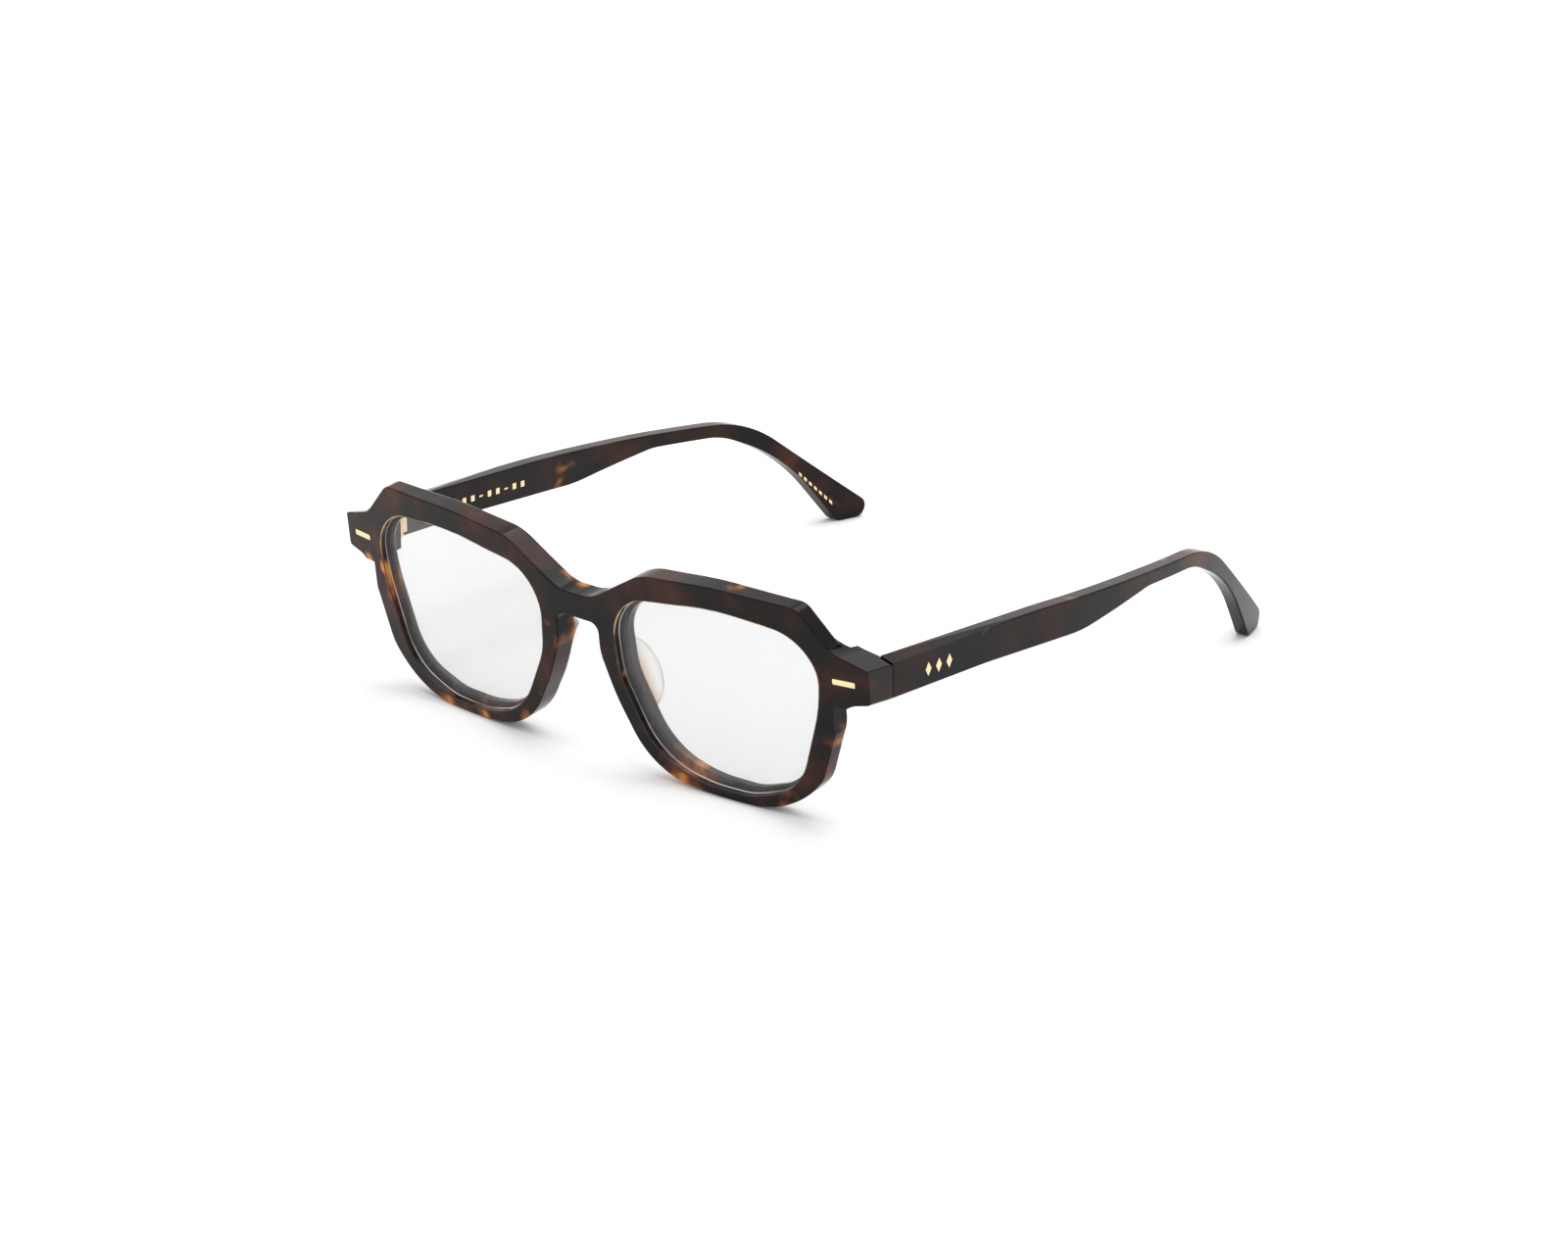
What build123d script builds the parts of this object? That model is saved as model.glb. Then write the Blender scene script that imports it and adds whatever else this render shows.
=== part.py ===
"""Acetate eyeglasses frame: a thick one-piece front with two rims, clear lenses and clear nose pads,
and two temples on five-barrel hinges. Millimetres; +Z up, the front faces -Y, the temples run to +Y.

The model is built in a design frame whose X = 0 is the plane of symmetry, whose Y = 0 is the bridge's
front face and whose Z = 0 is the height of the front's gold plaques. Last of all, everything is moved so
that the origin is the middle of the footprint on the table that the frame stands on, temples open.
"""

from build123d import *
import os

# Front: its outline is drawn on a plane that leans forward by the pantoscopic angle.
PANTOSCOPIC = 7.0  # degrees between the front's plane and the vertical
WRAP_RADIUS = 415.0  # plan-view radius of the front's outer face
BACK_RADIUS = 650.0  # the back is flatter, so the front thins out towards the sides
BRIDGE_DEPTH = 5.5  # thickness of the front at the bridge
FRONT_EDGE = 0.3  # rounding of the front face's edges
BACK_EDGE = 0.8  # rounding of the back face's edges
JOINT_Y = 13.4  # where the end pieces stop and the temples start
BEYOND = 40.0  # half size of a box or depth of a prism that passes right through the front

# Half of the front's outline: (x, height, corner radius), from the bridge's top to its underside.
FRONT_CORNERS = [
    (4.2, 4.7, 10.0),  # dip of the bridge
    (17.9, 12.9, 12.0),  # inner end of the brow
    (34.4, 14.2, 74.0),  # crown of the brow
    (55.0, 13.8, 3.5),  # outer corner of the brow
    (62.4, 5.9, 6.5),  # foot of the brow's slant
    (70.3, 3.75, 0.4),  # end piece, top
    (70.3, -3.5, 1.0),  # end piece, bottom
    (64.2, -5.0, 5.5),  # under the end piece
    (58.3, -22.7, 9.0),  # outer side of the rim
    (50.1, -31.3, 22.0),  # lower outer corner of the rim
    (35.0, -31.9, 85.0),  # foot of the rim
    (17.0, -30.1, 17.5),  # lower inner corner of the rim
    (8.8, -15.5, 44.0),  # flare beside the nose
    (5.6, -6.8, 9.0),  # side of the nose
    (5.6, -0.6, 2.1),  # underside of the bridge
]
# Lens opening of the +X rim: (x, height, corner radius).
OPENING_CORNERS = [
    (9.85, -0.5, 10.0),
    (13.65, 6.9, 10.0),
    (36.05, 9.6, 60.0),
    (53.85, 7.9, 11.0),
    (59.25, 1.2, 9.0),
    (58.55, -7.1, 35.0),
    (52.95, -25.7, 12.8),
    (40.95, -29.8, 16.0),
    (29.55, -29.8, 30.0),
    (18.15, -26.1, 16.5),
    (10.45, -10.5, 15.0),
]
SHOULDER = 0.8  # the opening is this much smaller all round behind the lens

# Lenses
GROOVE_DEPTH = 0.55  # how far the lens stands into the rim
LENS_SETBACK = 1.5  # from the front's outer face
LENS_DEPTH = 1.5

# Thick end pieces, which carry the hinges
END_PIECE_X = 62.0  # from here outwards the end piece is as deep as the joint
END_PIECE_RUN = (-0.4, 8.0, -0.85)  # they run back along this line, a little inwards and down
END_PIECE_DEPTH = 4.66  # how far the curved outer face has gone back where the end pieces start
BLOCK_PLAN = [(62.0, 3.0), (62.0, 6.0), (59.6, 7.8), (62.3, 10.6), (62.3, 18.0), (72.0, 18.0), (72.0, 3.0)]
BLOCK_BOTTOM = -5.6
# The top of their back is bevelled forwards along the plane through these points.
BEVEL_POINTS = [(62.3, 13.4, 3.6), (66.4, 13.4, 4.5), (62.3, 12.0, 5.9)]

# Plaque on each end piece
PLAQUE_X = 64.8
PLAQUE_SIZE = (5.0, 0.55, 1.15)  # along X, into the front, height
PLAQUE_CORNER = 0.25
PLAQUE_PROUD = 0.12
PLAQUE_POST_RADIUS = 0.45
PLAQUE_POST_LENGTH = 3.4
PLAQUE_POST_SPACING = 3.0

# Nose pads
PAD_AT = (9.9, -12.4)  # x and height of the pad's middle on the rim
PAD_LEAN = 23.8  # degrees, along the nose side of the rim
PAD_SPLAY = 24.0  # degrees, opening towards the back
PAD_LENGTH = 15.6
PAD_REACH = 5.0  # behind the middle of the pad's root
PAD_THICKNESS = 2.7
PAD_EDGE = 1.1
PAD_SUNK = 1.4  # length of the root that is trimmed to the back of the front

# Temples: side outline as (y, z, corner radius)
JOINT_GAP = 0.06
TEMPLE_CORNERS = [
    (JOINT_Y + JOINT_GAP, 4.45, 0.2),  # butt end, top
    (60.0, 2.4, 150.0),
    (93.9, 0.05, 200.0),
    (123.0, -2.5, 33.0),  # bend over the ear
    (155.2, -27.9, 2.4),  # tip, rear
    (153.6, -31.1, 2.0),  # tip, bottom
    (147.4, -31.35, 2.2),  # tip, front
    (133.3, -13.3, 49.0),
    (115.9, -4.8, 22.5),
    (95.9, -3.25, 20.0),
    (71.9, -5.85, 42.0),  # belly
    (41.9, -4.25, 200.0),
    (JOINT_Y + JOINT_GAP, -3.65, 0.2),  # butt end, bottom
]
TEMPLE_X = 69.9  # outer face at the butt end
TEMPLE_THICKNESS = 3.3
TEMPLE_SPLAY_END = (71.0, 62.0)  # x and y where the outer face starts to curve inwards
TEMPLE_BOW_RADIUS = 275.0
TEMPLE_BOW_SWEEP = 22.0  # degrees
TEMPLE_EDGE = 0.35
# Near the joint the top falls outwards like the end piece's, along the plane through these points.
TOP_FALL_POINTS = [(69.9, 13.4, 3.6), (66.6, 13.4, 4.45), (70.9, 55.0, 2.6)]

# Core wire inside each temple: side centre line as (y, z), with a radius at each inner corner
CORE_LINE = [(22.0, 0.2), (95.0, -1.8), (117.5, -3.7), (134.5, -13.6), (145.0, -24.0)]
CORE_RADII = [200.0, 38.0, 60.0]
CORE_HEIGHT = 1.4
CORE_THICKNESS = 1.1

# Hinges: five barrels on a vertical screw, three of them on the front
PIVOT_X, PIVOT_Y, PIVOT_Z = 64.9, JOINT_Y + 1.55, 0.2
BARRELS = 5
BARREL_RADIUS = 1.25
BARREL_HEIGHT = 1.0
BARREL_GAP = 0.06
SCREW_RADIUS = 0.60
RUNNING_CLEARANCE = 0.05
SCREW_HEAD_RADIUS = 1.05
SCREW_HEAD_HEIGHT = 0.5
SCREW_HEAD_EDGE = 0.15
SCREW_SLOT = (0.28, 0.22)  # width, depth
LEAF_HEIGHT = 5.4
FRONT_LEAF_X = (62.7, 65.9)
FRONT_LEAF_DEPTH = 1.05
FRONT_LEAF_PROUD = 0.05
ANCHOR_NECK = (0.8, 0.9, 1.0)  # half width, depth and half height of the leaf's foot in the acetate
ANCHOR_FOOT = (1.3, 0.6, 1.6)
NECK_OVERLAP = 0.2  # the barrels' necks reach this far into their leaf
TEMPLE_LEAF_X = (65.9, 67.2)
TEMPLE_LEAF_Y = (PIVOT_Y + 1.5, PIVOT_Y + 3.8)
TANG_LENGTH = 4.6
TANG_HEIGHT = 2.4

# Inlaid mark on the outer face of each temple: a row of lozenges
MARK_Y = (23.9, 27.0, 30.1)
MARK_Z = -0.45
MARK_SIZE = (1.7, 2.9)
MARK_INLAY = 0.3
MARK_PROUD = 0.03

BARREL_PITCH = BARREL_HEIGHT + BARREL_GAP
HINGE_HALF = (BARRELS * BARREL_HEIGHT + (BARRELS - 1) * BARREL_GAP) / 2


def span(x, y, z):
    """A box from its lowest to its highest value on each axis."""
    size = [high - low for low, high in (x, y, z)]
    middle = [(high + low) / 2 for low, high in (x, y, z)]
    return Pos(*middle) * Box(*size)


def rounded_face(corners, plane):
    """A face with a filleted corner at each (u, v, radius)."""
    path = FilletPolyline(*[(u, v) for u, v, _ in corners], radius=[r for _, _, r in corners], close=True)
    return plane * make_face(path)


def grown(corners, margin):
    """The corners of a convex outline, listed clockwise, moved out by a margin all round."""
    out = []
    for i, (u, v, radius) in enumerate(corners):
        here = Vector(u, v)
        before = (here - Vector(*corners[i - 1][:2])).normalized()
        after = (Vector(*corners[(i + 1) % len(corners)][:2]) - here).normalized()
        bisector = (before - after).normalized()
        moved = here + bisector * (margin / bisector.dot(Vector(-before.Y, before.X)))
        out.append((moved.X, moved.Y, radius + margin))
    return out


def above(points):
    """A large block on the upper side of the plane through three points."""
    first, second, third = (Vector(*point) for point in points)
    normal = (second - first).cross(third - first).normalized()
    if normal.Z < 0:
        normal = normal * -1
    plane = Plane(origin=first, x_dir=second - first, z_dir=normal)
    return plane * Pos(0, 0, BEYOND) * Box(4 * BEYOND, 4 * BEYOND, 2 * BEYOND)


def other_side(shape):
    """The same shape on the -X side."""
    return mirror(shape, about=Plane.YZ)


# ---------------------------------------------------------------- front


def leaned(shape):
    """From the front's own plane to the design frame."""
    return Rot(PANTOSCOPIC, 0, 0) * shape


def lens_face(margin):
    """The lens opening, larger all round by a margin, on the front's own plane."""
    return rounded_face(grown(OPENING_CORNERS, margin), Plane.XZ)


def front_outline(least_radius=0.0):
    right = [(x, z, max(r, least_radius)) for x, z, r in FRONT_CORNERS]
    left = [(-x, z, r) for x, z, r in reversed(right)]
    return rounded_face(right + left, Plane.XZ)


def through(face):
    """A face on the front's plane, as a prism through the whole depth of the front."""
    return Pos(0, -1, 0) * extrude(face, amount=-BEYOND)


def wrapped_layer(near, far):
    """The layer of the curved front between two depths behind its outer face."""
    outer = Cylinder(WRAP_RADIUS - near, 2 * BEYOND)
    return Pos(0, WRAP_RADIUS, 0) * (outer - Cylinder(WRAP_RADIUS - far, 2 * BEYOND))


def front_body():
    """Everything between the curved outer face and the flatter back."""
    back = Pos(0, BRIDGE_DEPTH + BACK_RADIUS, 0) * Cylinder(BACK_RADIUS, 2 * BEYOND)
    return Pos(0, WRAP_RADIUS, 0) * Cylinder(WRAP_RADIUS, 2 * BEYOND) - back


def lens_seat(margin):
    """The opening's prism, larger all round by a margin, at the depth of the lens."""
    return through(lens_face(margin)) & wrapped_layer(LENS_SETBACK, LENS_SETBACK + LENS_DEPTH)


def recess():
    """What is cut from the front down to the back of the lens."""
    return through(lens_face(0)) & wrapped_layer(-1, LENS_SETBACK + LENS_DEPTH)


def curved_front(shape):
    """The shape's outer face on the front's curve: the foremost of its two largest curved faces."""
    return shape.faces().filter_by(GeomType.CYLINDER).sort_by(SortBy.AREA)[-2:].sort_by(Axis.Y)[0]


def end_piece():
    """The thick +X end piece, from the outer face to the joint with the temple."""
    plan = Pos(0, 0, -BEYOND) * extrude(make_face(Polyline(*BLOCK_PLAN, close=True)), amount=2 * BEYOND)
    run = Vector(*END_PIECE_RUN).normalized().rotate(Axis.X, -PANTOSCOPIC)
    start = Vector(0, END_PIECE_DEPTH, 0) - run * END_PIECE_DEPTH
    block = extrude(Pos(start) * front_outline(), amount=BEYOND / 2, dir=run) & wrapped_layer(0, BEYOND / 2)
    block = block & plan & span((0, 2 * BEYOND), (-10, BEYOND), (BLOCK_BOTTOM, BEYOND))
    outer_edges = curved_front(block).edges().filter_by(lambda e: e.center().X > END_PIECE_X + FRONT_EDGE)
    return fillet(outer_edges, FRONT_EDGE) - Rot(-PANTOSCOPIC, 0, 0) * above(BEVEL_POINTS)


def rims():
    """The rims and the bridge with their end pieces, and with rounded edges."""
    opening = through(lens_face(-SHOULDER))
    # The end pieces' sharp corners are beyond where the plate is cut off, so they may be rounder here.
    plate = through(front_outline(2 * BACK_EDGE)) & front_body()
    plate = plate - opening - other_side(opening)
    back = plate.faces().sort_by(SortBy.AREA)[-2:].sort_by(Axis.Y)[1]
    plate = fillet(back.edges(), BACK_EDGE) - recess() - other_side(recess())
    plate = fillet(curved_front(plate).edges(), FRONT_EDGE)
    plate = plate & span((-END_PIECE_X, END_PIECE_X), (-10, BEYOND), (-BEYOND, BEYOND))
    return plate + end_piece() + other_side(end_piece())


def build_front(hinge_leaf, plaque):
    """The acetate front, with its lens grooves and the pockets of what is sunk into it."""
    groove = lens_seat(GROOVE_DEPTH)
    front = leaned(rims() - groove - other_side(groove))
    front -= span((-2 * BEYOND, 2 * BEYOND), (JOINT_Y, BEYOND), (-BEYOND, BEYOND))
    for sunk in (hinge_leaf, plaque):
        front = front - sunk - other_side(sunk)
    return front


def build_nose_pad(front):
    """A clear fin glued to the back of the rim beside the nose."""
    outline = Pos(0, (PAD_REACH - PAD_SUNK) / 2) * Rectangle(PAD_LENGTH, PAD_REACH + PAD_SUNK)
    fin = Ellipse(PAD_LENGTH / 2, PAD_REACH) & outline
    pad = extrude(fin, amount=PAD_THICKNESS / 2, both=True)
    pad = fillet(pad.edges().filter_by(lambda e: e.center().Y > NECK_OVERLAP), PAD_EDGE)
    # The fin's length turns to the vertical, its thickness to X.
    pad = Rot(0, -PAD_LEAN, 0) * Rot(0, 0, -PAD_SPLAY) * Rot(0, 90, 0) * pad
    pad = leaned(Pos(PAD_AT[0], BRIDGE_DEPTH, PAD_AT[1]) * pad)
    return (pad - leaned(through(front_outline()) & front_body()) - front).solids().sort_by(SortBy.VOLUME)[-1]


def build_plaque():
    """Gold bar on the end piece, with two posts pressed into the acetate."""
    length, depth, height = PLAQUE_SIZE
    bar = fillet(Box(length, depth, height).edges().filter_by(Axis.Y), PLAQUE_CORNER)
    bar = Pos(0, depth / 2 - PLAQUE_PROUD, 0) * bar
    for side in (-1, 1):
        post = Rot(90, 0, 0) * Cylinder(PLAQUE_POST_RADIUS, PLAQUE_POST_LENGTH)
        bar += Pos(side * PLAQUE_POST_SPACING / 2, PLAQUE_POST_LENGTH / 2, 0) * post
    turn = Vector(0, 1).get_angle(Vector(PLAQUE_X, WRAP_RADIUS))
    sag = WRAP_RADIUS - (WRAP_RADIUS**2 - PLAQUE_X**2) ** 0.5
    return leaned(Pos(PLAQUE_X, sag, 0) * Rot(0, 0, turn) * bar)


# ---------------------------------------------------------------- hinges


def barrel(level, neck_x, neck_y):
    """The barrel at a level counted from the bottom, with the neck that joins it to its leaf."""
    low = PIVOT_Z - HINGE_HALF + level * BARREL_PITCH
    tube = Pos(PIVOT_X, PIVOT_Y, low + BARREL_HEIGHT / 2) * Cylinder(BARREL_RADIUS, BARREL_HEIGHT)
    return tube + span(neck_x, neck_y, (low, low + BARREL_HEIGHT))


def pivot_bore(radius):
    return Pos(PIVOT_X, PIVOT_Y, PIVOT_Z) * Cylinder(radius, 4 * HINGE_HALF)


def leaf_plate(x, y):
    return span(x, y, (PIVOT_Z - LEAF_HEIGHT / 2, PIVOT_Z + LEAF_HEIGHT / 2))


def build_front_leaf():
    """Leaf sunk into the back of the end piece, with three barrels and a foot that anchors it."""
    face_y = JOINT_Y + FRONT_LEAF_PROUD
    leaf = leaf_plate(FRONT_LEAF_X, (face_y - FRONT_LEAF_DEPTH, face_y))
    middle = sum(FRONT_LEAF_X) / 2
    back_y = face_y - FRONT_LEAF_DEPTH
    for half_width, depth, half_height in (ANCHOR_NECK, ANCHOR_FOOT):
        x = (middle - half_width, middle + half_width)
        leaf += span(x, (back_y - depth, back_y), (PIVOT_Z - half_height, PIVOT_Z + half_height))
        back_y -= depth
    neck_x = (PIVOT_X - BARREL_RADIUS, PIVOT_X + BARREL_RADIUS / 2)
    for level in range(0, BARRELS, 2):
        leaf += barrel(level, neck_x, (face_y - NECK_OVERLAP, PIVOT_Y))
    return leaf - pivot_bore(SCREW_RADIUS)


def build_temple_leaf():
    """Leaf sunk into the inner face of the temple, with two barrels and a tang that holds the core."""
    leaf = leaf_plate(TEMPLE_LEAF_X, TEMPLE_LEAF_Y)
    core_y, core_z = CORE_LINE[0]
    tang_x = (TEMPLE_LEAF_X[1], temple_mid_x(core_y) + CORE_THICKNESS / 2)
    leaf += span(tang_x, (core_y - TANG_LENGTH, core_y), (core_z - TANG_HEIGHT / 2, core_z + TANG_HEIGHT / 2))
    for level in range(1, BARRELS, 2):
        neck_y = (PIVOT_Y, TEMPLE_LEAF_Y[0] + NECK_OVERLAP)
        leaf += barrel(level, (PIVOT_X, PIVOT_X + BARREL_RADIUS), neck_y)
    return leaf - pivot_bore(SCREW_RADIUS + RUNNING_CLEARANCE)


def build_screw():
    """Slotted screw, fixed in the front's barrels."""
    shank = Pos(PIVOT_X, PIVOT_Y, PIVOT_Z) * Cylinder(SCREW_RADIUS, 2 * HINGE_HALF)
    head = Cylinder(SCREW_HEAD_RADIUS, SCREW_HEAD_HEIGHT)
    head = fillet(head.edges().group_by(Axis.Z)[-1], SCREW_HEAD_EDGE)
    width, depth = SCREW_SLOT
    head -= Pos(0, 0, SCREW_HEAD_HEIGHT / 2) * Box(4 * SCREW_HEAD_RADIUS, width, 2 * depth)
    return shank + Pos(PIVOT_X, PIVOT_Y, PIVOT_Z + HINGE_HALF + SCREW_HEAD_HEIGHT / 2) * head


# ---------------------------------------------------------------- temples


def temple_slab(near, far):
    """Plan-view layer of the +X temple between two distances inside its outer face, as a tall solid."""
    start = Vector(TEMPLE_X, JOINT_Y - 3)
    bend = Vector(*TEMPLE_SPLAY_END)
    along = (bend - start).normalized()
    inward = Vector(-along.Y, along.X)
    centre = bend + inward * TEMPLE_BOW_RADIUS

    def edge(inset):
        first, second = start + inward * inset, bend + inward * inset
        arc = [centre + (second - centre).rotate(Axis.Z, TEMPLE_BOW_SWEEP * part) for part in (0.5, 1)]
        return first, second, *arc

    a1, a2, a3, a4 = edge(near)
    b1, b2, b3, b4 = edge(far)
    outer = [Line(a1, a2), ThreePointArc(a2, a3, a4)]
    inner = [ThreePointArc(b4, b3, b2), Line(b2, b1)]
    profile = make_face(Wire(outer + [Line(a4, b4)] + inner + [Line(b1, a1)]))
    return Pos(0, 0, -BEYOND) * extrude(profile, amount=2 * BEYOND)


def temple_mid_x(y):
    """X of the middle of the temple's thickness, along its straight part."""
    x_end, y_end = TEMPLE_SPLAY_END
    return TEMPLE_X + (x_end - TEMPLE_X) * (y - JOINT_Y) / (y_end - JOINT_Y) - TEMPLE_THICKNESS / 2


def build_core():
    """Metal wire that stiffens the temple and lets it be bent to fit."""
    line = FilletPolyline(*CORE_LINE, radius=CORE_RADII)
    band = Plane.YZ * make_face(offset(line, amount=CORE_HEIGHT / 2))
    middle = TEMPLE_THICKNESS / 2
    layer = temple_slab(middle - CORE_THICKNESS / 2, middle + CORE_THICKNESS / 2)
    start = span((0, 2 * BEYOND), (0, CORE_LINE[0][0]), (-BEYOND, BEYOND))
    return extrude(band, amount=2 * BEYOND) & layer - start


def build_mark():
    """Three lozenges inlaid in the outer face of the temple."""
    width, height = MARK_SIZE
    corners = [(-width / 2, 0), (0, -height / 2), (width / 2, 0), (0, height / 2)]
    lozenge = make_face(Polyline(*corners, close=True))
    row = [extrude(Plane.YZ * Pos(y, MARK_Z) * lozenge, amount=2 * BEYOND) for y in MARK_Y]
    skin = temple_slab(-MARK_PROUD, MARK_INLAY)
    return Compound([prism & skin for prism in row])


def build_temple(leaf, core, mark):
    """The acetate temple, with the pockets of what is sunk into it."""
    side = extrude(rounded_face(TEMPLE_CORNERS, Plane.YZ), amount=2 * BEYOND)
    temple = side & temple_slab(0, TEMPLE_THICKNESS)
    butt = temple.faces().sort_by(Axis.Y)[0]
    long_edges = [e for e in temple.edges() if e not in butt.edges()]
    temple = fillet(long_edges, TEMPLE_EDGE) - above(TOP_FALL_POINTS)
    return temple - leaf - core - mark


# ---------------------------------------------------------------- assembly


def main():
    front_leaf, temple_leaf = build_front_leaf(), build_temple_leaf()
    plaque, core, mark = build_plaque(), build_core(), build_mark()
    front = build_front(front_leaf, plaque)
    left = {
        "lens": leaned(lens_seat(GROOVE_DEPTH)),
        "nose_pad": build_nose_pad(front),
        "front_plaque": plaque,
        "front_hinge": front_leaf,
        "hinge_screw": build_screw(),
        "temple": build_temple(temple_leaf, core, mark),
        "temple_hinge": temple_leaf,
        "temple_core": core,
        "temple_mark": mark,
    }
    nodes = {"front": front}
    for name, shape in left.items():
        nodes[name + "_left"] = shape
        nodes[name + "_right"] = other_side(shape)
    boxes = [shape.bounding_box() for shape in nodes.values()]
    middle_y = (min(b.min.Y for b in boxes) + max(b.max.Y for b in boxes)) / 2
    shift = Pos(0, -round(middle_y, 2), -min(b.min.Z for b in boxes))
    print("row frame = design frame +", shift.position)
    for name in ("front", "temple_left"):
        print(name, "bottom", round(nodes[name].bounding_box().min.Z, 3))
    os.makedirs("parts", exist_ok=True)
    for name, shape in nodes.items():
        export_step(shift * shape, f"parts/{name}.step")


main()
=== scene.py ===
# Looks of the acetate eyeglasses frame: materials, foil marks, lens edges, floor, light and camera.
# Positions are in metres in the row frame: +Z up, the front faces -Y, the temples run to +Y.
import math

import bmesh
import bpy
from mathutils import Euler, Matrix, Vector
from mathutils.bvhtree import BVHTree
from mathutils.geometry import convex_hull_2d


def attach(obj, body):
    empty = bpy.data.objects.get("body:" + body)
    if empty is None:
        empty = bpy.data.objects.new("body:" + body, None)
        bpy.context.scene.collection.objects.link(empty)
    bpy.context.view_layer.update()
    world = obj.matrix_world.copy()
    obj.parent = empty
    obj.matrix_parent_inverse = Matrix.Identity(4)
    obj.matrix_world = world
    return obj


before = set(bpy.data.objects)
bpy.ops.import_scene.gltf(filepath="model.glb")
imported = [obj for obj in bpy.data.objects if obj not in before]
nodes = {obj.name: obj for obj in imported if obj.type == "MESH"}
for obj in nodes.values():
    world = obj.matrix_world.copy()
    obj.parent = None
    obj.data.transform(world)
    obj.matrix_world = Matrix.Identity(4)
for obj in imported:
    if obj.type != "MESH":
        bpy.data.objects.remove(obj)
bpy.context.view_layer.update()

MM = 0.001
SIDES = (("left", 1), ("right", -1))  # with the sign of X there

# The front: how it leans back, the middle of the bridge's outer face at the plaques' height, and its wrap
LEAN = math.radians(7.0)
FRONT_Y = -76.73 * MM
FRONT_Z = 31.31 * MM
WRAP_RADIUS = 415.0 * MM
LENS_MARGIN = 0.55 * MM  # how far the lens reaches past the edge of the opening, into its groove

# Thin tubes round each opening: how far outside its edge, how far behind the outer face, and their radius
GLOW_MARGIN = 0.17 * MM
GLOW_DEPTH = 0.17 * MM
GLOW_RADIUS = 0.17 * MM
# The lens's edge: a thin tube that carries a painted highlight, drawn pale where the clear edge catches
# the light.
BEVEL_MARGIN = 0.02 * MM
BEVEL_DEPTH = 1.42 * MM
BEVEL_RADIUS = 0.14 * MM
RING_POINTS = 180
TUBE_SIDES = 8

# Where the amber of the tortoise is rarest and commonest up the front, and where it ends behind it
AMBER_RARE_Z = 0.036
AMBER_RICH_Z = 0.014
AMBER_FULL_Y = -0.065
AMBER_GONE_Y = -0.055
# The thin line round the opening is dark below the first height and golden above the second.
GLOW_DARK_Z = 0.012
GLOW_BRIGHT_Z = 0.034
# Where the nose pads leave the rim, taken along the lean down to the floor, and how deep the painted amber
# glow of the rim reaches into them
PAD_ROOT_Y = -67.4 * MM
PAD_ROOT_GLOW_DEPTH = 2.6 * MM
MIDDLE = (0.3, 0.7)  # most of a noise's values lie between these

# Foil: half its thickness, and the two rows of strokes on the inner face of each temple, in mm
FOIL_HALF = 0.03 * MM
DASH_COUNT = 12
DASH_START_Y = -50.0
DASH_START_Z = 31.0
DASH_PITCH = 2.6
DASH_SLOPE = 0.045
DASH_LENGTH = 1.1
DASH_TALL = 1.3
DASH_SHORT = 0.35
DASH_GROUP = 3  # the first of every three is short
TIP_COUNT = 7
TIP_START_Y = 60.5
TIP_START_Z = 13.2
TIP_PITCH = 1.35
TIP_SIZE = 0.75

# Floor and light
FLOOR_HALF = 6.0
FLOOR_CELLS = 8
SOFTBOX_AT = (0.0, 0.2, 1.6)
SOFTBOX_SIZE = 1.6
SOFTBOX_POWER = 16.0

# Camera: where it stands as seen from the frame, how it's turned in degrees, and its lens
CAMERA_AT = (576.72 * MM, -686.43 * MM, 340.65 * MM)
CAMERA_AZIMUTH = 40.599
CAMERA_ELEVATION = 20.392
CAMERA_ROLL = 0.276
CAMERA_LENS = 104.0
SENSOR_WIDTH = 36.0

scene = bpy.context.scene


# ---------------------------------------------------------------- node helpers


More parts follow.
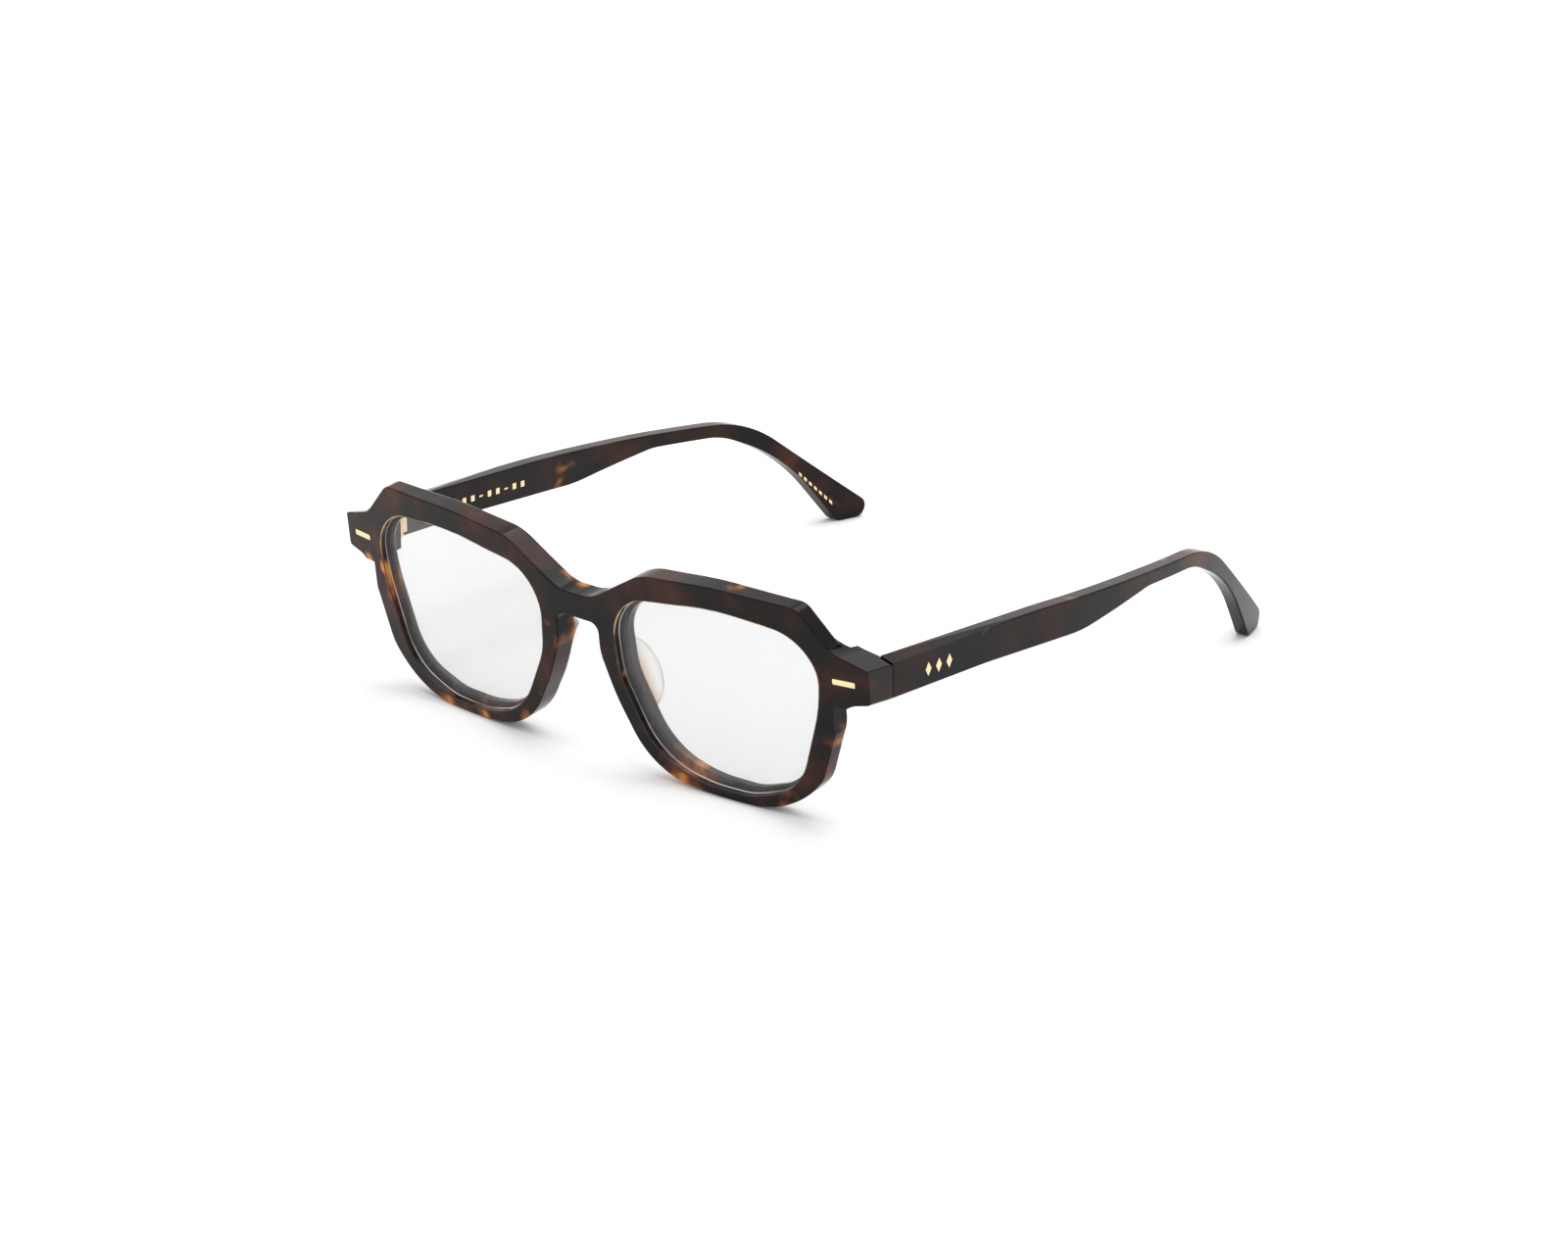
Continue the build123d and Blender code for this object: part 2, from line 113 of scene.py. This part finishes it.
class Nodes:
    """Short forms for building one material's node tree."""

    def __init__(self, name):
        self.material = bpy.data.materials.new(name)
        self.material.use_nodes = True
        self.tree = self.material.node_tree
        self.shader = self.tree.nodes["Principled BSDF"]

    def add(self, kind, **settings):
        node = self.tree.nodes.new(kind)
        for key, value in settings.items():
            setattr(node, key, value)
        return node

    def link(self, source, target):
        self.tree.links.new(source, target)

    def feed(self, source, name):
        """Links a value to one of the shader's sockets."""
        self.link(source, self.shader.inputs[name])

    def fix(self, values):
        """Sets those sockets of the shader that are the same all over the surface."""
        for name, value in values.items():
            self.shader.inputs[name].default_value = value

    def place(self, stretch=(1.0, 1.0, 1.0)):
        """Object coordinates, stretched."""
        mapping = self.add("ShaderNodeMapping")
        mapping.inputs["Scale"].default_value = stretch
        self.link(self.add("ShaderNodeTexCoord").outputs["Object"], mapping.inputs["Vector"])
        return mapping.outputs["Vector"]

    def axes(self):
        """Object coordinates, one output for each axis."""
        split = self.add("ShaderNodeSeparateXYZ")
        self.link(self.add("ShaderNodeTexCoord").outputs["Object"], split.inputs[0])
        return split.outputs

    def noise(self, vector, scale, detail, roughness=0.5, distortion=0.0):
        node = self.add("ShaderNodeTexNoise")
        node.inputs["Scale"].default_value = scale
        node.inputs["Detail"].default_value = detail
        node.inputs["Roughness"].default_value = roughness
        node.inputs["Distortion"].default_value = distortion
        self.link(vector, node.inputs["Vector"])
        return node.outputs["Fac"]

    def ramp(self, value, stops):
        """A colour ramp; stops are (position, colour)."""
        node = self.add("ShaderNodeValToRGB")
        elements = node.color_ramp.elements
        while len(elements) < len(stops):
            elements.new(1.0)
        for element, (position, colour) in zip(elements, stops):
            element.position = position
            element.color = (*colour, 1.0)
        self.link(value, node.inputs["Fac"])
        return node.outputs["Color"]

    def level(self, value, low, high, out_low=0.0, out_high=1.0):
        """Maps a value smoothly from one range to another."""
        node = self.add("ShaderNodeMapRange", interpolation_type="SMOOTHSTEP")
        node.inputs["From Min"].default_value = low
        node.inputs["From Max"].default_value = high
        node.inputs["To Min"].default_value = out_low
        node.inputs["To Max"].default_value = out_high
        self.link(value, node.inputs["Value"])
        return node.outputs["Result"]

    def math(self, operation, a, b):
        """Works on a value and either another value or a plain number."""
        node = self.add("ShaderNodeMath", operation=operation)
        self.link(a, node.inputs[0])
        if isinstance(b, float):
            node.inputs[1].default_value = b
        else:
            self.link(b, node.inputs[1])
        return node.outputs["Value"]

    def mix(self, factor, a, b):
        """Mixes a colour with another one, which is linked or plain."""
        node = self.add("ShaderNodeMix", data_type="RGBA")
        factor_socket, a_socket, b_socket = node.inputs[0], node.inputs[6], node.inputs[7]
        self.link(factor, factor_socket)
        self.link(a, a_socket)
        if isinstance(b, tuple):
            b_socket.default_value = (*b, 1.0)
        else:
            self.link(b, b_socket)
        return node.outputs[2]

    def bump(self, height, strength, distance):
        node = self.add("ShaderNodeBump")
        node.inputs["Strength"].default_value = strength
        node.inputs["Distance"].default_value = distance
        self.link(height, node.inputs["Height"])
        self.feed(node.outputs["Normal"], "Normal")


# ---------------------------------------------------------------- materials


def tortoise():
    """Dark tortoise acetate: near-black brown with soft red-brown clouds and a few amber blotches."""
    m = Nodes("tortoise_acetate")
    place = m.place(stretch=(1.0, 0.7, 1.0))
    clouds = m.noise(place, scale=85.0, detail=2.0, distortion=0.3)
    blotches = m.noise(place, scale=128.0, detail=2.0, distortion=0.2)
    deep = m.ramp(clouds, [
        (0.40, (0.0020, 0.0014, 0.0014)),
        (0.50, (0.0070, 0.0026, 0.0022)),
        (0.62, (0.026, 0.0070, 0.0038)),
        (0.76, (0.060, 0.0150, 0.0055)),
    ])
    amber = m.ramp(blotches, [
        (0.54, (0.030, 0.0085, 0.0040)),
        (0.64, (0.15, 0.040, 0.008)),
        (0.74, (0.55, 0.21, 0.030)),
    ])
    # Amber shows most in the lower rims and hardly at all in the temples.
    axes = m.axes()
    low = m.level(axes["Z"], AMBER_RARE_Z, AMBER_RICH_Z, out_low=-0.055, out_high=0.115)
    in_front = m.level(axes["Y"], AMBER_GONE_Y, AMBER_FULL_Y)
    behind = m.level(in_front, 0.0, 1.0, out_low=-0.07, out_high=0.0)
    lift = m.math("ADD", m.math("MULTIPLY", low, in_front), behind)
    spot = m.level(m.math("ADD", blotches, lift), 0.60, 0.76)
    m.feed(m.mix(spot, deep, amber), "Base Color")
    polish = m.noise(place, scale=260.0, detail=2.0)
    m.feed(m.level(polish, *MIDDLE, out_low=0.06, out_high=0.12), "Roughness")
    m.fix({"IOR": 1.48, "Specular IOR Level": 0.18})
    ripple = m.noise(place, scale=55.0, detail=1.0, roughness=0.4)
    m.bump(ripple, strength=0.08, distance=0.0004)
    return m.material


def edge_glow():
    """Where light comes through the thin polished edge of the opening: golden above, dark below."""
    m = Nodes("edge_glow")
    patches = m.noise(m.place(), scale=130.0, detail=2.0)
    high = m.level(m.axes()["Z"], GLOW_DARK_Z, GLOW_BRIGHT_Z, out_low=-0.12, out_high=0.13)
    tint = m.ramp(m.math("ADD", patches, high), [
        (0.46, (0.0060, 0.0030, 0.0025)),
        (0.58, (0.10, 0.042, 0.010)),
        (0.70, (0.50, 0.32, 0.11)),
    ])
    m.feed(tint, "Base Color")
    m.fix({"Roughness": 0.15, "IOR": 1.48})
    return m.material


def lens_plastic():
    """A clear lens, made as a thin grey film with a sheen."""
    m = Nodes("demo_lens")
    haze = m.noise(m.place(), scale=30.0, detail=2.0)
    m.feed(m.ramp(haze, [(0.3, (0.29, 0.295, 0.30)), (0.7, (0.31, 0.315, 0.32))]), "Base Color")
    m.fix({"Roughness": 0.02, "IOR": 1.45, "Alpha": 0.20})
    return m.material


def lens_edge_highlight():
    """Painted highlight: the clear lens's edge in the groove, drawn as a pale line where it catches the
    light.
    """
    m = Nodes("lens_edge_highlight")
    highlight_streaks = m.noise(m.place(), scale=90.0, detail=2.0)
    # Painted highlight: pale streaks stand in for light caught along the clear edge.
    m.feed(m.ramp(highlight_streaks, [(0.35, (0.16, 0.15, 0.15)), (0.65, (0.62, 0.60, 0.58))]), "Base Color")
    m.fix({"Roughness": 0.12, "IOR": 1.5})
    return m.material


def clear_acetate():
    """Nose pads: clear, with painted light at the root: the rim's amber drawn in where it glows through
    the clear pad.
    """
    m = Nodes("clear_acetate")
    haze = m.noise(m.place(), scale=120.0, detail=3.0)
    tint = m.ramp(haze, [(0.3, (0.93, 0.90, 0.84)), (0.7, (0.98, 0.97, 0.94))])
    axes = m.axes()
    # Painted light: the root is tinted with the rim's amber glowing through the clear pad, fading out
    # towards the back.
    behind = m.math("ADD", axes["Y"], m.math("MULTIPLY", axes["Z"], math.tan(LEAN)))
    root = m.level(behind, PAD_ROOT_Y, PAD_ROOT_Y + PAD_ROOT_GLOW_DEPTH, out_low=1.0, out_high=0.0)
    m.feed(m.mix(root, tint, (0.40, 0.17, 0.035)), "Base Color")
    m.feed(m.level(haze, *MIDDLE, out_low=0.03, out_high=0.09), "Roughness")
    m.fix({"IOR": 1.47, "Alpha": 0.85, "Transmission Weight": 1.0})
    return m.material


def gold():
    """Pale gold with a fine grain."""
    m = Nodes("pale_gold")
    grain = m.noise(m.place(stretch=(1.0, 1.0, 6.0)), scale=2200.0, detail=3.0)
    m.feed(m.ramp(grain, [(0.3, (0.86, 0.62, 0.33)), (0.7, (0.97, 0.76, 0.46))]), "Base Color")
    m.feed(m.level(grain, *MIDDLE, out_low=0.22, out_high=0.38), "Roughness")
    m.fix({"Metallic": 1.0})
    m.bump(grain, strength=0.15, distance=0.00005)
    return m.material


def steel_wire():
    """Core wires, with their grain along the temples."""
    m = Nodes("core_wire")
    grain = m.noise(m.place(stretch=(1.0, 0.05, 1.0)), scale=3000.0, detail=2.0)
    m.feed(m.ramp(grain, [(0.3, (0.50, 0.49, 0.47)), (0.7, (0.68, 0.67, 0.64))]), "Base Color")
    m.feed(m.level(grain, *MIDDLE, out_low=0.25, out_high=0.4), "Roughness")
    m.fix({"Metallic": 1.0})
    return m.material


def floor_paint():
    """Pale, matt and almost even."""
    m = Nodes("pale_floor")
    grain = m.noise(m.place(), scale=40.0, detail=3.0)
    m.feed(m.ramp(grain, [(0.3, (0.90, 0.90, 0.90)), (0.7, (0.915, 0.915, 0.915))]), "Base Color")
    m.fix({"Roughness": 0.8, "Specular IOR Level": 0.1})
    return m.material


def finish_nodes(acetate, lens, clear, metal, wire):
    """Gives every CAD node its material, going by its name without the side."""
    finishes = {
        "front": acetate,
        "temple": acetate,
        "lens": lens,
        "nose_pad": clear,
        "front_plaque": metal,
        "front_hinge": metal,
        "hinge_screw": metal,
        "temple_hinge": metal,
        "temple_mark": metal,
        "temple_core": wire,
    }
    for name, node in nodes.items():
        stem = name.removesuffix("_left").removesuffix("_right")
        node.data.materials.clear()
        node.data.materials.append(finishes[stem])


def add_mesh(name, shape, material):
    """Makes a finished bmesh into an object of one material."""
    mesh = bpy.data.meshes.new(name)
    shape.to_mesh(mesh)
    shape.free()
    mesh.materials.append(material)
    thing = bpy.data.objects.new(name, mesh)
    scene.collection.objects.link(thing)
    return thing


# ---------------------------------------------------------------- thin lines round the lenses


def on_front(point):
    """From the row frame to the front's own plane: x and height."""
    y, z = point[1] - FRONT_Y, point[2] - FRONT_Z
    return Vector((point[0], z * math.cos(LEAN) - y * math.sin(LEAN)))


def from_front(x, depth, height):
    """Back to the row frame, from a depth behind the front's plane."""
    y = depth * math.cos(LEAN) - height * math.sin(LEAN)
    z = depth * math.sin(LEAN) + height * math.cos(LEAN)
    return Vector((x, y + FRONT_Y, z + FRONT_Z))


def lens_outline(node):
    """The lens's convex outline on the front's plane, evenly spaced, as (point, outward direction)."""
    points = [on_front(vertex.co) for vertex in node.data.vertices]
    hull = [points[i] for i in convex_hull_2d(points)]
    lengths = [(hull[(i + 1) % len(hull)] - corner).length for i, corner in enumerate(hull)]
    step = sum(lengths) / RING_POINTS
    even, travelled, target = [], 0.0, 0.0
    for i, length in enumerate(lengths):
        while target < travelled + length and len(even) < RING_POINTS:
            even.append(hull[i].lerp(hull[(i + 1) % len(hull)], (target - travelled) / length))
            target += step
        travelled += length
    outline = []
    for i, point in enumerate(even):
        along = (even[(i + 1) % len(even)] - even[i - 1]).normalized()
        outline.append((point, Vector((along.y, -along.x))))
    return outline


def build_ring(name, outline, margin, depth, radius, material):
    """A thin tube round the opening, a margin outside it and a depth behind the front's outer face."""
    shape = bmesh.new()
    loops = []
    for point, outward in outline:
        loop = []
        for side in range(TUBE_SIDES):
            angle = 2 * math.pi * side / TUBE_SIDES
            at = point + outward * (margin - LENS_MARGIN + radius * math.cos(angle))
            sag = WRAP_RADIUS - math.sqrt((WRAP_RADIUS - depth) ** 2 - at.x**2)
            loop.append(shape.verts.new(from_front(at.x, sag + radius * math.sin(angle), at.y)))
        loops.append(loop)
    for i, loop in enumerate(loops):
        ahead = loops[(i + 1) % len(loops)]
        for side in range(TUBE_SIDES):
            other = (side + 1) % TUBE_SIDES
            face = shape.faces.new((loop[side], loop[other], ahead[other], ahead[side]))
            face.smooth = True
    bmesh.ops.recalc_face_normals(shape, faces=shape.faces)
    ring = add_mesh(name, shape, material)
    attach(ring, "root")


# ---------------------------------------------------------------- foil marks inside the temples


def build_foil(name, side, sign, strokes, material):
    """Short gold strokes on a temple's inner face; each is (y, z, length, height, rise of its far end)."""
    surface = BVHTree.FromObject(nodes["temple_" + side], bpy.context.evaluated_depsgraph_get())
    shape = bmesh.new()
    for y, z, length, height, rise in strokes:
        corners = []
        for end in (-0.5, 0.5):
            for half in (-0.5, 0.5):
                origin = Vector((0, y + end * length, z + end * rise + half * height))
                at, normal, _, _ = surface.ray_cast(origin, Vector((sign, 0, 0)))
                corners.append((at, normal))
        outer = [shape.verts.new(at + normal * FOIL_HALF) for at, normal in corners]
        inner = [shape.verts.new(at - normal * FOIL_HALF) for at, normal in corners]
        ring = (0, 1, 3, 2)
        shape.faces.new([outer[i] for i in ring])
        shape.faces.new([inner[i] for i in reversed(ring)])
        for i, j in zip(ring, ring[1:] + ring[:1]):
            shape.faces.new((outer[i], outer[j], inner[j], inner[i]))
    bmesh.ops.recalc_face_normals(shape, faces=shape.faces)
    foil = add_mesh(name, shape, material)
    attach(foil, "temple_" + side)


def front_strokes():
    """A row of short dashes along the front third of the temple."""
    strokes = []
    for i in range(DASH_COUNT):
        y = DASH_START_Y + DASH_PITCH * i
        z = DASH_START_Z - DASH_SLOPE * DASH_PITCH * i
        height = DASH_TALL if i % DASH_GROUP else DASH_SHORT
        strokes.append((y * MM, z * MM, DASH_LENGTH * MM, height * MM, 0.0))
    return strokes


def tip_strokes():
    """A shorter row down the tip, each stroke sloping with it."""
    strokes = []
    size = TIP_SIZE * MM
    for i in range(TIP_COUNT):
        y = TIP_START_Y + TIP_PITCH * i
        z = TIP_START_Z - TIP_PITCH * i
        strokes.append((y * MM, z * MM, size, size, -size))
    return strokes


# ---------------------------------------------------------------- stage


def build_floor():
    shape = bmesh.new()
    bmesh.ops.create_grid(shape, x_segments=FLOOR_CELLS, y_segments=FLOOR_CELLS, size=FLOOR_HALF)
    add_mesh("floor", shape, floor_paint())


def build_lights():
    """An even white studio and one large soft box overhead."""
    world = bpy.data.worlds.new("studio")
    scene.world = world
    world.use_nodes = True
    background = world.node_tree.nodes["Background"]
    background.inputs["Color"].default_value = (1.0, 1.0, 1.0, 1.0)
    background.inputs["Strength"].default_value = 1.0
    data = bpy.data.lights.new("overhead", "AREA")
    data.shape = "RECTANGLE"
    data.size = SOFTBOX_SIZE
    data.size_y = SOFTBOX_SIZE
    data.energy = SOFTBOX_POWER
    light = bpy.data.objects.new("overhead", data)
    light.location = SOFTBOX_AT
    light.rotation_euler = Vector(SOFTBOX_AT).to_track_quat("Z", "Y").to_euler()
    scene.collection.objects.link(light)


def build_camera():
    data = bpy.data.cameras.new("camera")
    data.lens = CAMERA_LENS
    data.sensor_width = SENSOR_WIDTH
    camera = bpy.data.objects.new("camera", data)
    camera.location = CAMERA_AT
    aim = Euler((math.radians(90 - CAMERA_ELEVATION), 0, math.radians(CAMERA_AZIMUTH)))
    roll = Matrix.Rotation(math.radians(CAMERA_ROLL), 3, "Z")
    camera.rotation_euler = (aim.to_matrix() @ roll).to_euler()
    scene.collection.objects.link(camera)
    scene.camera = camera


metal = gold()
finish_nodes(tortoise(), lens_plastic(), clear_acetate(), metal, steel_wire())
glow, bevel = edge_glow(), lens_edge_highlight()
for side, _ in SIDES:
    outline = lens_outline(nodes["lens_" + side])
    build_ring("rim_glow_" + side, outline, GLOW_MARGIN, GLOW_DEPTH, GLOW_RADIUS, glow)
    # A tube at the lens's edge, drawn pale as a painted highlight.
    build_ring("lens_edge_highlight_" + side, outline, BEVEL_MARGIN, BEVEL_DEPTH, BEVEL_RADIUS, bevel)
for side, sign in SIDES:
    build_foil("inner_foil_" + side, side, sign, front_strokes() + tip_strokes(), metal)
build_floor()
build_lights()
build_camera()
scene.view_settings.view_transform = "Standard"
